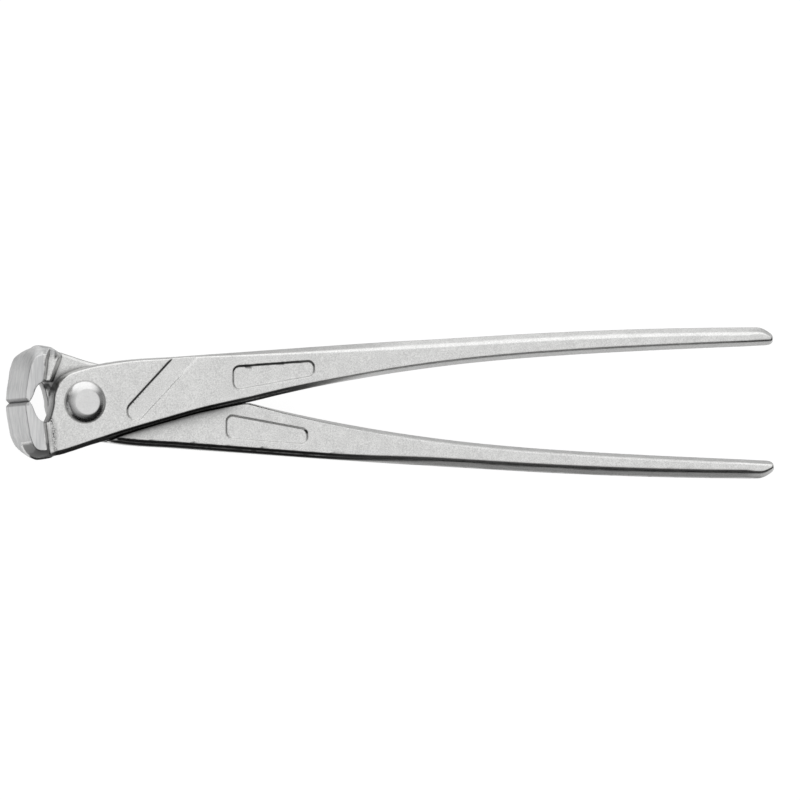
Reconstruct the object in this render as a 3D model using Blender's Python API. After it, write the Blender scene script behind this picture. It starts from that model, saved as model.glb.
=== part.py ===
"""Rebar tying pliers: two drop-forged levers that cross in a lap joint on one rivet.

Both levers are the same forging. The rear one is the front one turned half a turn about the
long axis of the tool. The tool lies flat with its jaws towards -X, its handles towards +X
and its rivet along Z. Lengths along the tool are measured from the lips of the jaws, and
heights from the centre line between the two levers, before each lever moves to its pivot.
"""

import math

import bmesh
import bpy
import numpy as np

# Overall sizes
LENGTH = 0.2500
PIVOT_FROM_LIPS = 0.0210
RUNNING_GAP = 0.0003
CUT_OVERRUN = 0.0020

# Jaws
JAW_WIDTH = 0.0225
SHOULDER_FROM_LIPS = 0.0070
SHOULDER_HEIGHT = 0.01795
SIDE_SHOULDER_FROM_LIPS = 0.0064
SIDE_SHOULDER_HEIGHT = 0.01475
CORNER_HEIGHT = 0.0092
CORNER_POWER = 2.2
CROWN_POWER = 2.0
BEVEL_DEPTH = 0.0007
BEVEL_HEIGHT = 0.00095
HOLLOW_LENGTH = 0.0083
HOLLOW_HEIGHT = 0.0063
HOLLOW_SHARES = (
    (0.17, 0.07), (0.29, 0.19), (0.36, 0.46), (0.47, 0.71), (0.60, 0.93), (0.74, 1.00),
)
BACK_AT_SIDE = 0.0060
BACK_AT_JOINT = 0.0086
BACK_LEAN = 0.0012
BACK_INSIDE = 0.0110
BACK_SINK = 0.0008
BACK_TURN = 0.0008

# Lap joint
JOINT_THICKNESS = 0.0120
JOINT_RADIUS = 0.0104
JOINT_ARC_START = math.radians(182)
JOINT_ARC_END = math.radians(105)
RIM_FOOT_SHARES = ((0.92, 1.11), (1.04, 1.00), (1.14, 0.78), (1.22, 0.43))
CROSSING_FROM_LIPS = 0.0756
UNDERSIDE_SHARES = (
    (0.000, 0.975), (0.026, 0.994), (0.040, 0.981), (0.083, 0.934), (0.156, 0.853),
    (0.229, 0.774), (0.300, 0.696), (0.385, 0.593), (0.481, 0.488), (0.602, 0.362),
    (0.769, 0.189), (0.868, 0.105), (1.000, 0.000),
)
RECESS_FOOT = 0.0122
RECESS_LEAN_SHARE = 0.40
RECESS_SLOPE_RUN = 0.0030
RECESS_DROP = 0.0003
RECESS_REACH = 0.0300
RECESS_END_LEAN = 0.0080
RAMP_START_SHARE = 0.25
RAMP_CLEARANCE = 0.0005
RAMP_RUN = 0.0024

# Handles
HANDLE_START = 0.0326
OUTER_START_HEIGHT = 0.01296
OUTER_TIP_HEIGHT = 0.0240
INNER_TIP_HEIGHT = 0.0182
OUTER_EDGE_SHARES = (
    (0.000, 0.000), (0.092, 0.133), (0.183, 0.257), (0.274, 0.384), (0.388, 0.533),
    (0.525, 0.692), (0.662, 0.842), (0.800, 0.946), (0.937, 0.995), (1.000, 1.003),
)
INNER_EDGE_SHARES = (
    (0.000, 0.000), (0.063, 0.139), (0.120, 0.252), (0.177, 0.353), (0.292, 0.529),
    (0.406, 0.667), (0.520, 0.767), (0.635, 0.841), (0.749, 0.899), (0.864, 0.948),
    (1.000, 1.000),
)
HANDLE_THICKNESS = 0.0088
TAPER_START = 0.0600
TAPER_END = 0.1300
TIP_OUTER_LENGTH = 0.0042
TIP_OUTER_DROP = 0.0028
TIP_INNER_LENGTH = 0.0018
TIP_INNER_DROP = 0.0014
TIP_ROUNDING = 0.0013

# Forged edges: the draft moves a flank inwards, and a radius joins it to the flat face.
# The parting line runs in the middle of each half of the joint, and of the whole handle.
PARTING_SHARE = 0.5
RIM_DRAFT = 0.0002
RIM_EDGE_RADIUS = 0.0006
JOINT_DRAFT = 0.0003
JOINT_EDGE_RADIUS = 0.0013
OUTER_DRAFT = 0.0011
OUTER_EDGE_RADIUS = 0.0016
INNER_DRAFT = 0.0007
INNER_EDGE_RADIUS = 0.0012

# Bare recessed panels in the flat faces
PANEL_DEPTH = 0.0005
SLOT_WIDTH = 0.00615
SLOT_END_FROM_LIPS = 0.0374
SLOT_END_HEIGHT = -0.0032
SLOT_ANGLE = math.radians(46)
SLOT_LENGTH = 0.0300
PANEL_CORNER = 0.0020
PANEL_START = 0.0695
PANEL_LENGTH = 0.0270
PANEL_INNER_MARGIN = 0.0034
PANEL_OUTER_MARGIN = 0.0039
REAR_PANEL_START = 0.0678

# Rivet
SHANK_RADIUS = 0.0045
RIVET_HEAD_RADIUS = 0.0067
RIVET_FLAT_RADIUS = 0.0039
RIVET_HEAD_HEIGHT = 0.0030
RIVET_EDGE_RADIUS = 0.0004

# Bare steel
FORGED_COLOR = (0.66, 0.66, 0.65)
FORGED_ROUGHNESS = 0.42
RIVET_COLOR = (0.62, 0.62, 0.61)
RIVET_ROUGHNESS = 0.35

# Resolution
CORNER_STEPS = 9
CROWN_STEPS = 5
SLOPE_STEPS = 4
HOLLOW_STEPS = 12
JOINT_STATIONS = 18
HANDLE_STATIONS = 40
TIP_STATIONS = 6
EDGE_STEPS = 4
RAMP_STEPS = 22
ROUND_STEPS = 64
PANEL_CORNER_STEPS = 5
SLOT_END_STEPS = 10
SHARP_ANGLE = math.radians(32)

HALF_JAW = JAW_WIDTH / 2
HALF_JOINT = JOINT_THICKNESS / 2
HALF_HANDLE = HANDLE_THICKNESS / 2
HALF_GAP = RUNNING_GAP / 2


def clear_scene():
    for obj in list(bpy.data.objects):
        bpy.data.objects.remove(obj, do_unlink=True)


def smooth_curve(knots, places):
    """Heights at the given places of a smooth curve through the knots."""
    x, y = np.array(knots, float).T
    step = np.diff(x)
    rise = np.diff(y) / step
    slope = np.empty_like(y)
    slope[1:-1] = (rise[:-1] * step[1:] + rise[1:] * step[:-1]) / (step[:-1] + step[1:])
    slope[0] = rise[0]
    slope[-1] = rise[-1]
    i = np.clip(np.searchsorted(x, places) - 1, 0, len(step) - 1)
    t = (places - x[i]) / step[i]
    bend = (1 + 2 * t) * (1 - t) ** 2 * y[i] + t**2 * (3 - 2 * t) * y[i + 1]
    return bend + step[i] * t * (1 - t) * ((1 - t) * slope[i] - t * slope[i + 1])


def smooth_path(points, count):
    """Points evenly spread along a smooth path through the given points."""
    points = np.array(points, float)
    run = np.concatenate([[0], np.cumsum(np.linalg.norm(np.diff(points, axis=0), axis=1))])
    places = np.linspace(0, run[-1], count)
    return np.column_stack([smooth_curve(list(zip(run, axis)), places) for axis in points.T])


def table_curve(shares, start, run, base, rise):
    """A table of shares as knots: along from start over run, and up from base by rise."""
    return [(start + along * run, base + up * rise) for along, up in shares]


UNDERSIDE = table_curve(
    UNDERSIDE_SHARES, SHOULDER_FROM_LIPS, CROSSING_FROM_LIPS - SHOULDER_FROM_LIPS,
    0, -SHOULDER_HEIGHT,
)
INNER_EDGE = UNDERSIDE[:-1] + table_curve(
    INNER_EDGE_SHARES, CROSSING_FROM_LIPS, LENGTH - CROSSING_FROM_LIPS, 0, INNER_TIP_HEIGHT
)
OUTER_EDGE = table_curve(
    OUTER_EDGE_SHARES, HANDLE_START, LENGTH - HANDLE_START,
    OUTER_START_HEIGHT, OUTER_TIP_HEIGHT - OUTER_START_HEIGHT,
)


def taper(x):
    """0 in the joint, 1 in the slim part of the handle."""
    return np.clip((x - TAPER_START) / (TAPER_END - TAPER_START), 0, 1)


def half_thickness(x):
    return HALF_JOINT + (HALF_HANDLE - HALF_JOINT) * taper(x)


def mesh_object(name, points, faces, hidden=False):
    mesh = bpy.data.meshes.new(name)
    mesh.from_pydata([tuple(map(float, point)) for point in points], [], faces)
    tidy = bmesh.new()
    tidy.from_mesh(mesh)
    bmesh.ops.recalc_face_normals(tidy, faces=tidy.faces)
    tidy.to_mesh(mesh)
    tidy.free()
    obj = bpy.data.objects.new(name, mesh)
    bpy.context.collection.objects.link(obj)
    if hidden:
        obj.hide_render = True
        obj.display_type = "WIRE"
    return obj


def loft(name, rings, hidden=False):
    """A closed solid through rings of equally many points, with its two ends capped."""
    count = len(rings[0])
    faces = [tuple(range(count)), tuple(range((len(rings) - 1) * count, len(rings) * count))]
    for ring in range(len(rings) - 1):
        for i in range(count):
            j = (i + 1) % count
            low = ring * count
            faces.append((low + i, low + j, low + count + j, low + count + i))
    return mesh_object(name, np.concatenate(rings), faces, hidden)


def corner_curve(shoulder, height):
    """The outside of a jaw from its flat front to its shoulder, as a blunt quarter oval."""
    angles = np.linspace(0, math.pi / 2, CORNER_STEPS)
    along = shoulder * (1 - np.cos(angles) ** (2 / CORNER_POWER))
    up = height - CORNER_HEIGHT * (1 - np.sin(angles) ** (2 / CORNER_POWER))
    return np.column_stack([along, up])


def hollow_curve():
    """The inside of a jaw, from its hollow's floor to the cutting edge."""
    knots = [(BEVEL_DEPTH, HALF_GAP)]
    knots += [(x * HOLLOW_LENGTH, y * HOLLOW_HEIGHT) for x, y in HOLLOW_SHARES]
    return smooth_path(knots, HOLLOW_STEPS)[::-1]


def jaw_levels():
    """Places across the jaw: the side faces, the slopes down to the joint, and the crown."""
    slope = np.linspace(HALF_JAW, HALF_JOINT, SLOPE_STEPS)
    crown = np.linspace(HALF_JOINT - BACK_TURN, 0, CROWN_STEPS)
    half = np.concatenate([slope, crown])
    return np.concatenate([half, -half[-2::-1]])


def jaw_ring(level):
    """The outline of a jaw in one plane across the rivet's axis."""
    crown = 1 - abs(level / HALF_JAW) ** CROWN_POWER
    side = corner_curve(SIDE_SHOULDER_FROM_LIPS, SIDE_SHOULDER_HEIGHT)
    middle = corner_curve(SHOULDER_FROM_LIPS, SHOULDER_HEIGHT)
    outside = side + (middle - side) * crown
    if abs(level) < HALF_JOINT:
        foot = (BACK_INSIDE, HOLLOW_HEIGHT)
        back_x = BACK_INSIDE
        sink = BACK_SINK
    else:
        share = (HALF_JAW - abs(level)) / (HALF_JAW - HALF_JOINT)
        foot = (BACK_AT_SIDE + (BACK_AT_JOINT - BACK_AT_SIDE) * share, HOLLOW_HEIGHT)
        back_x = foot[0] + BACK_LEAN
        sink = 0
    rise = -smooth_curve(INNER_EDGE, np.array([back_x]))[0] - SIDE_SHOULDER_HEIGHT
    back = (back_x, SIDE_SHOULDER_HEIGHT + rise * crown - sink)
    lip = [(0, HALF_GAP + BEVEL_HEIGHT)]
    outline = np.concatenate([lip, outside, [back, foot], hollow_curve()])
    return np.column_stack([
        outline[:, 0] - PIVOT_FROM_LIPS, -outline[:, 1], np.full(len(outline), level),
    ])


def upper_joint_edge():
    """The rim of the lap joint, from the foot of the hollow round to the handle."""
    foot = [(x * HOLLOW_LENGTH, -y * HOLLOW_HEIGHT) for x, y in RIM_FOOT_SHARES]
    angles = np.linspace(JOINT_ARC_START, JOINT_ARC_END, JOINT_STATIONS // 2)
    arc = [
        (PIVOT_FROM_LIPS + JOINT_RADIUS * math.cos(a), JOINT_RADIUS * math.sin(a))
        for a in angles
    ]
    return smooth_path(foot + arc + OUTER_EDGE[:2], JOINT_STATIONS)


def lever_edges():
    """The two edges of a lever at its parting line, point for point."""
    upper = upper_joint_edge()
    joint_end = upper[-1, 0]
    low = np.linspace(SHOULDER_FROM_LIPS, joint_end, JOINT_STATIONS)
    lower = np.column_stack([low, smooth_curve(INNER_EDGE, low)])
    run = np.linspace(joint_end, LENGTH - TIP_OUTER_LENGTH, HANDLE_STATIONS)[1:]
    upper = np.concatenate([upper, np.column_stack([run, smooth_curve(OUTER_EDGE, run)])])
    lower = np.concatenate([lower, np.column_stack([run, smooth_curve(INNER_EDGE, run)])])
    turn = np.linspace(0, math.pi / 2, TIP_STATIONS)[1:]
    top_x = LENGTH - TIP_OUTER_LENGTH * (1 - np.sin(turn))
    low_x = LENGTH - TIP_INNER_LENGTH * (1 - np.sin(turn))
    top = smooth_curve(OUTER_EDGE, top_x) - TIP_OUTER_DROP * (1 - np.cos(turn))
    low = smooth_curve(INNER_EDGE, low_x) + TIP_INNER_DROP * (1 - np.cos(turn))
    upper = np.concatenate([upper, np.column_stack([top_x, top])])
    lower = np.concatenate([lower, np.column_stack([low_x, low])])
    return upper, lower


def inward(edge, side):
    """Unit normals of an edge that point into the lever, which lies below side 1."""
    run = np.gradient(edge, axis=0)
    run /= np.linalg.norm(run, axis=1)[:, None]
    return side * np.column_stack([run[:, 1], -run[:, 0]])


def edge_profile(parting, draft, radius, half):
    """Steps from the parting line to the flat face: how far inwards, and how high."""
    turn = np.linspace(0, math.pi / 2, EDGE_STEPS + 1)
    steps = [(draft + radius * (1 - math.cos(a)), half - radius * (1 - math.sin(a))) for a in turn]
    return [(0, parting)] + steps


def lever_ring(high, low, into_high, into_low, x, shrink):
    """One section of a lever, from one edge over the front face to the other and back."""
    slim = taper(x)
    half = half_thickness(x) - shrink
    from_rim = np.clip((high[0] - HOLLOW_LENGTH) / (PIVOT_FROM_LIPS - HOLLOW_LENGTH), 0, 1)
    rim_draft = RIM_DRAFT + (JOINT_DRAFT - RIM_DRAFT) * from_rim
    rim_radius = RIM_EDGE_RADIUS + (JOINT_EDGE_RADIUS - RIM_EDGE_RADIUS) * from_rim
    profiles = []
    for joint_draft, joint_radius, draft, radius in (
        (rim_draft, rim_radius, OUTER_DRAFT, OUTER_EDGE_RADIUS),
        (JOINT_DRAFT, JOINT_EDGE_RADIUS, INNER_DRAFT, INNER_EDGE_RADIUS),
    ):
        profiles.append(edge_profile(
            PARTING_SHARE * half * (1 - slim),
            joint_draft + (draft - joint_draft) * slim,
            joint_radius + (radius - joint_radius) * slim,
            half,
        ))
    front = [(*(high + into_high * step), z) for step, z in profiles[0]]
    front += [(*(low + into_low * step), z) for step, z in reversed(profiles[1])]
    back = [(px, py, -z) for px, py, z in reversed(front[1:-1])]
    return np.array(front + back) - (PIVOT_FROM_LIPS, 0, 0)


def forged_lever(name):
    """Joint plate and handle as one loft, with drafted flanks and rounded edges."""
    upper, lower = lever_edges()
    into_upper = inward(upper, 1)
    into_lower = inward(lower, -1)
    turn = np.linspace(0, math.pi / 2, TIP_STATIONS)[1:]
    shrink = np.zeros(len(upper))
    shrink[-len(turn):] = TIP_ROUNDING * (1 - np.cos(turn))
    rings = [
        lever_ring(upper[i], lower[i], into_upper[i], into_lower[i], lower[i, 0], shrink[i])
        for i in range(len(upper))
    ]
    return loft(name, rings)


def recess_ramp(spread):
    """The wall that follows the closed mating lever, sloping most between its two ends."""
    start = SHOULDER_FROM_LIPS + RAMP_START_SHARE * (CROSSING_FROM_LIPS - SHOULDER_FROM_LIPS)
    along = np.linspace(start, CROSSING_FROM_LIPS, RAMP_STEPS)
    slope = RAMP_RUN * spread * np.sin(np.linspace(0, math.pi, RAMP_STEPS))
    return list(zip(along, RAMP_CLEARANCE + slope - smooth_curve(INNER_EDGE, along)))


def recess_ring(depth):
    """The outline of the space for the mating lever, wider away from the lap face."""
    spread = depth / HALF_JOINT
    nose = -HOLLOW_HEIGHT - RECESS_DROP
    foot = RECESS_FOOT - RECESS_SLOPE_RUN * spread
    ramp = recess_ramp(spread)
    outline = [
        (foot + RECESS_LEAN_SHARE * (RECESS_REACH + nose), -RECESS_REACH),
        (foot, nose),
        (BACK_AT_SIDE, nose),
        (BACK_AT_SIDE, RECESS_REACH),
        (ramp[0][0], RECESS_REACH),
    ]
    outline += ramp
    outline.append((CROSSING_FROM_LIPS + RECESS_END_LEAN, -RECESS_REACH))
    return np.array([(x - PIVOT_FROM_LIPS, y, HALF_GAP - depth) for x, y in outline])


def rounded_outline(corners):
    """A polygon with its corners rounded to the panel's corner radius."""
    corners = np.array(corners)
    outline = []
    for i, corner in enumerate(corners):
        before = corners[i - 1] - corner
        after = corners[(i + 1) % len(corners)] - corner
        before /= np.linalg.norm(before)
        after /= np.linalg.norm(after)
        half_angle = math.acos(np.clip(before @ after, -1, 1)) / 2
        reach = PANEL_CORNER / math.tan(half_angle)
        middle = before + after
        centre = corner + middle / np.linalg.norm(middle) * PANEL_CORNER / math.sin(half_angle)
        first = corner + before * reach - centre
        last = corner + after * reach - centre
        for share in np.linspace(0, 1, PANEL_CORNER_STEPS):
            arm = first + (last - first) * share
            outline.append(centre + arm / np.linalg.norm(arm) * PANEL_CORNER)
    return outline


def slot_outline():
    """The slanting slot beside the rivet, round at its lower end and open at the top edge."""
    centre = np.array([SLOT_END_FROM_LIPS, SLOT_END_HEIGHT])
    along = np.array([math.cos(SLOT_ANGLE), math.sin(SLOT_ANGLE)])
    across = np.array([-along[1], along[0]])
    radius = SLOT_WIDTH / 2
    outline = []
    for turn in np.linspace(0, math.pi, SLOT_END_STEPS):
        outline.append(centre + radius * (across * math.cos(turn) - along * math.sin(turn)))
    outline.append(outline[-1] + along * SLOT_LENGTH)
    outline.append(outline[0] + along * SLOT_LENGTH)
    return outline


def panel_outline(start):
    """A panel on the handle that keeps its margins to both edges."""
    ends = np.array([start, start + PANEL_LENGTH])
    low = smooth_curve(INNER_EDGE, ends) + PANEL_INNER_MARGIN
    high = smooth_curve(OUTER_EDGE, ends) - PANEL_OUTER_MARGIN
    return rounded_outline([
        (ends[0], low[0]), (ends[1], low[1]), (ends[1], high[1]), (ends[0], high[0]),
    ])


def panel_cutter(name, outline, face):
    """A shallow cut that follows the thickness of the lever, in its face 1 or -1."""
    floor = []
    top = []
    for x, y in outline:
        floor.append((x - PIVOT_FROM_LIPS, y, face * (half_thickness(x) - PANEL_DEPTH)))
        top.append((x - PIVOT_FROM_LIPS, y, face * (HALF_JOINT + CUT_OVERRUN)))
    return loft(name, [np.array(floor), np.array(top)], hidden=True)


def turned(name, profile, hidden=False):
    """A solid of revolution about Z through (radius, height) points, both ends flat."""
    turns = np.linspace(0, 2 * math.pi, ROUND_STEPS, endpoint=False)
    rings = [
        np.column_stack([radius * np.cos(turns), radius * np.sin(turns), np.full(len(turns), z)])
        for radius, z in profile
    ]
    return loft(name, rings, hidden)


def boolean(target, cutter, operation):
    cutter.parent = target
    modifier = target.modifiers.new(cutter.name, "BOOLEAN")
    modifier.operation = operation
    modifier.solver = "EXACT"
    modifier.object = cutter


def steel(name, color, roughness):
    material = bpy.data.materials.new(name)
    material.use_nodes = True
    shader = material.node_tree.nodes["Principled BSDF"]
    shader.inputs["Base Color"].default_value = (*color, 1)
    shader.inputs["Metallic"].default_value = 1.0
    shader.inputs["Roughness"].default_value = roughness
    return material


def finish(obj, material):
    obj.data.materials.append(material)
    obj.data.shade_smooth()
    obj.data.set_sharp_from_angle(angle=SHARP_ANGLE)


def make_lever(name, panels, material):
    """A whole lever about its pivot, with its jaw below and its handle above."""
    lever = forged_lever(name)
    jaw = loft(name + "_jaw", [jaw_ring(level) for level in jaw_levels()], hidden=True)
    depths = (0, HALF_JOINT + CUT_OVERRUN)
    recess = loft(name + "_recess", [recess_ring(depth) for depth in depths], hidden=True)
    reach = HALF_JAW + CUT_OVERRUN
    bore_radius = SHANK_RADIUS + RUNNING_GAP
    bore = turned(name + "_bore", [(bore_radius, -reach), (bore_radius, reach)], hidden=True)
    jaw.data.shade_smooth()
    jaw.data.set_sharp_from_angle(angle=SHARP_ANGLE)
    boolean(lever, jaw, "UNION")
    boolean(lever, recess, "DIFFERENCE")
    boolean(lever, bore, "DIFFERENCE")
    for title, outline, face in panels:
        boolean(lever, panel_cutter(name + title, outline, face), "DIFFERENCE")
    finish(lever, material)
    return lever


def rivet_profile():
    """Half of the rivet from its middle to the flat end of one head."""
    seat = HALF_JOINT + RUNNING_GAP
    top = seat + RIVET_HEAD_HEIGHT
    slope = math.atan2(RIVET_HEAD_HEIGHT, RIVET_HEAD_RADIUS - RIVET_FLAT_RADIUS)
    reach = RIVET_EDGE_RADIUS * math.tan(slope / 2)
    profile = [(SHANK_RADIUS, 0), (SHANK_RADIUS, seat), (RIVET_HEAD_RADIUS, seat)]
    for turn in np.linspace(slope, 0, EDGE_STEPS):
        profile.append((
            RIVET_FLAT_RADIUS - reach + RIVET_EDGE_RADIUS * math.sin(turn),
            top - RIVET_EDGE_RADIUS * (1 - math.cos(turn)),
        ))
    return profile


def make_rivet(material):
    half = rivet_profile()
    rivet = turned("pivot_rivet", [(r, -z) for r, z in reversed(half[1:])] + half[1:])
    finish(rivet, material)
    return rivet


def main():
    clear_scene()
    pivot = (PIVOT_FROM_LIPS - LENGTH / 2, 0, HALF_JAW)
    front = make_lever(
        "front_lever",
        [("_slot", slot_outline(), 1), ("_panel", panel_outline(PANEL_START), 1)],
        steel("front_forging", FORGED_COLOR, FORGED_ROUGHNESS),
    )
    rear = make_lever(
        "rear_lever",
        [("_panel", panel_outline(REAR_PANEL_START), -1)],
        steel("rear_forging", FORGED_COLOR, FORGED_ROUGHNESS),
    )
    rivet = make_rivet(steel("rivet_steel", RIVET_COLOR, RIVET_ROUGHNESS))
    front.location = pivot
    rear.location = pivot
    rear.rotation_euler = (math.pi, 0, 0)
    rivet.location = pivot


main()
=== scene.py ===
"""Looks of the rebar tying pliers: finer forgings over the CAD levers, bare steel, a plain studio.

The two levers are the same forging, apart from the slot and the panels. It is built once, about
its pivot, as a distance volume in which its lofts are joined and cut with the soft transitions of
a drop forging. Lengths along the tool are measured from the lips of the jaws.
"""

import math

import bpy
import numpy as np
import openvdb
from mathutils import Matrix, Vector


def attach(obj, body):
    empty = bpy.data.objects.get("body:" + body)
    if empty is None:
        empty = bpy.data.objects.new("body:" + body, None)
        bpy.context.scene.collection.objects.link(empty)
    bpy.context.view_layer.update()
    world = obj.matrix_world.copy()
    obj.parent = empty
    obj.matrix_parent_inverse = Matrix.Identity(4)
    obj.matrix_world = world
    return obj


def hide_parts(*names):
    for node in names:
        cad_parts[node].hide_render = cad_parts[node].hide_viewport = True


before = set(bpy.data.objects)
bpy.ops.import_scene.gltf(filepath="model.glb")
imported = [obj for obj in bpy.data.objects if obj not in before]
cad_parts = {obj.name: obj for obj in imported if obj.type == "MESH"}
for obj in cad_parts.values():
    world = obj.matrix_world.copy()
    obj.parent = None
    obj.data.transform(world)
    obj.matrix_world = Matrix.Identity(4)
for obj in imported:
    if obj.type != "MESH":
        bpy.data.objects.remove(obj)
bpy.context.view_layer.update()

# The tool's sizes, as in the CAD
LENGTH = 0.2500
PIVOT_FROM_LIPS = 0.0210
RUNNING_GAP = 0.0003
HALF_GAP = RUNNING_GAP / 2
HALF_JAW = 0.01125
HALF_JOINT = 0.0060
HALF_HANDLE = 0.0044
PIVOT = Vector((PIVOT_FROM_LIPS - LENGTH / 2, 0, HALF_JAW))

# The jaws. An outline is its shoulder's place, its height, its corner's drop and its roundness
SHOULDER_FROM_LIPS = 0.0070
SHOULDER_HEIGHT = 0.01795
MIDDLE = (0.0070, 0.01755, 0.0092, 1.8)
LAP_SIDE = (0.0050, 0.01535, 0.0088, 2.2)
RECESS_SIDE = (0.0062, 0.01475, 0.0092, 2.4)
CROWN_POWER = 2.0
BEVEL_DEPTH = 0.0010
BEVEL_HEIGHT = 0.00100
LIP_GAP = -0.00003
LIP_LAND = 0.0004
FRONT_POINTS = 12
CURVE_POINTS = 48
HOLLOW_LENGTH = 0.0083
HOLLOW_HEIGHT = 0.0063
HOLLOW_SHARES = (
    (0.29, 0.26), (0.35, 0.46), (0.42, 0.67), (0.53, 0.86), (0.63, 0.95), (0.74, 1.00),
)
BACK_AT_SIDE = 0.0058
BACK_AT_JOINT = 0.0081
FRONT_TUCK = 0.0009
FRONT_TUCK_START = (0.0015, 0.0090)
FRONT_TUCK_END = (0.0115, 0.0175)
BACK_LEAN = 0.0012
BACK_INSIDE = 0.0110
BACK_SINK = 0.0008
JAW_SLOPE_RINGS = 16
JAW_CROWN_RINGS = 18
JAW_CROWN_STEP = 0.0006

# The joint's rim, and the lever's underside from its shoulder to where the levers cross
JOINT_RADIUS = 0.0104
JOINT_ARC = np.radians((182, 105))
JOINT_ARC_POINTS = 9
RIM_FOOT_SHARES = ((0.92, 1.11), (1.04, 1.00), (1.14, 0.78), (1.22, 0.43))
CROSSING_FROM_LIPS = 0.0756
UNDERSIDE_SHARES = (
    (0.000, 0.950), (0.026, 0.972), (0.040, 0.970), (0.083, 0.950), (0.156, 0.872),
    (0.229, 0.782), (0.300, 0.696), (0.385, 0.593), (0.481, 0.488), (0.602, 0.362),
    (0.769, 0.189), (0.868, 0.105), (1.000, 0.000),
)

# The recess for the other lever, whose ramp follows that lever's underside
RECESS_FOOT = 0.0122
RECESS_LEAN_SHARE = 0.40
RECESS_SLOPE_RUN = 0.0027
RECESS_DROP = 0.0003
RECESS_REACH = 0.0300
RECESS_END_LEAN = 0.0080
RAMP_START_SHARE = 0.25
RAMP_CLEARANCE = 0.00012
RAMP_OVERHANG = 0.0006
RAMP_OVERHANG_POWER = 4
RAMP_POINTS = 60
RECESS_RINGS = 12

# The handle's edges, as shares of their run and their rise
HANDLE_START = 0.0326
OUTER_START_HEIGHT = 0.01296
OUTER_TIP_HEIGHT = 0.0240
INNER_TIP_HEIGHT = 0.0182
OUTER_EDGE_SHARES = (
    (0.000, 0.000), (0.092, 0.133), (0.183, 0.257), (0.274, 0.384), (0.388, 0.533),
    (0.525, 0.692), (0.662, 0.842), (0.800, 0.946), (0.937, 0.995), (1.000, 1.003),
)
INNER_EDGE_SHARES = (
    (0.000, 0.000), (0.063, 0.139), (0.120, 0.252), (0.177, 0.353), (0.292, 0.529),
    (0.406, 0.667), (0.520, 0.767), (0.635, 0.841), (0.749, 0.899), (0.864, 0.948),
    (1.000, 1.000),
)
TAPER_START = 0.0600
TAPER_END = 0.1300
EDGE_POINTS = 90
HANDLE_POINTS = 190

# The handle's tip, as distances before its end and from its edges
TIP_ALONG_EDGE = ((0.0070, 0.0), (0.0054, 0.0), (0.0044, 0.0001), (0.0034, 0.0004))
TIP_CORNER = (
    (0.0024, 0.00088), (0.0014, 0.0015), (0.0007, 0.0020), (0.0002, 0.0025), (-0.0001, 0.0031),
)
TIP_CORNER_INSIDE = (
    (-0.0001, 0.0020), (0.0001, 0.0012), (0.00035, 0.00075), (0.00075, 0.0004), (0.0014, 0.00015),
    (0.0024, 0.0),
)
TIP_BLEND = (0.2400, 0.2430)
TIP_LEAD = 0.0040
TIP_OVERRUN = 0.0030
TIP_LEAN_START = 0.0015
TIP_LEAN_RUN = 0.0040
TIP_SOFT = 0.0003

# The lever's flanks. A pair for a rim, a joint or a handle is its draft and its edge's radius
PARTING_SHARE = 0.5
PROFILE_POINTS = 26
FILLET_POINTS = 12
RIM_DRAFT = 0.0002
RIM_EDGE_RADIUS = 0.0006
JOINT_OUTER = (0.0006, 0.0009)
JOINT_INNER = (0.0003, 0.0013)
HANDLE_OUTER = (0.0018, 0.0006)
HANDLE_INNER = (0.0013, 0.0005)
OUTER_CHAMFER = 0.0010
INNER_CHAMFER = 0.0006
CHAMFER_LEAN = 0.90
CHAMFER_SHARES = (0.15, 0.85)
FLANK_SHARE = 0.93
FACE_START = 0.00012
FACE_END = 0.0008
NECK_START = 0.0125
NECK_END = 0.0200
NECK_RADIUS = 0.0030
NECK_DRAFT = 0.0003
NECK_FOOT = 0.0004
UNDERSIDE_LEAN = 0.0017
UNDERSIDE_LEAN_END = (0.0220, 0.0320)

# The trimmed flash bands: steps inward and levels, and where the bands start and end
TRIM_PROFILE = (
    (0.0, 0.0022), (0.00003, 0.0039), (0.00020, 0.00422), (0.00050, 0.00460), (0.00070, 0.00490),
    (0.00108, 0.00494), (0.00124, 0.00522), (0.00142, 0.00550), (0.00162, 0.00580),
    (0.00185, 0.00597), (0.00210, 0.0060),
)
UNDERSIDE_TRIM_END = (0.0850, 0.1200)
OUTSIDE_TRIM_START = (0.0240, 0.0300)
OUTSIDE_TRIM_END = (0.0950, 0.1400)

# How soft the jaw and the recess meet the lever, and where that changes
JAW_SOFT = 0.0003
OUTER_JAW_SOFT = 0.0042
OUTER_BAND = (0.0008, 0.0046)
LAP_BAND = (-0.0005, 0.0005)
LESS_AT_LAP_SHARE = 0.8
RECESS_SOFT = 0.0022
LESS_AT_WALL = 0.0019
WALL_END = (0.0140, 0.0170)
LESS_AT_RAMP = 0.0017
RAMP_START = (0.0260, 0.0330)

# The slanted slot and the panels
PANEL_DEPTH = 0.0008
PANEL_WALL_RUN = 0.0006
PANEL_OVERRUN = 0.0030
PANEL_SOFT = 0.00015
CORNER_POINTS = 9
SLOT_POINTS = 24
SLOT_WIDTH = 0.00640
SLOT_END_FROM_LIPS = 0.0378
SLOT_END_HEIGHT = -0.0028
SLOT_ANGLE = math.radians(46)
SLOT_LENGTH = 0.0300
PANEL_CORNER = 0.0023
PANEL_CORNERS = ((0.0, 0.00346), (0.0273, 0.00825), (0.0275, 0.01345), (0.0, 0.01150))
PANEL_START = 0.0696
REAR_PANEL_START = 0.0672

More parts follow.
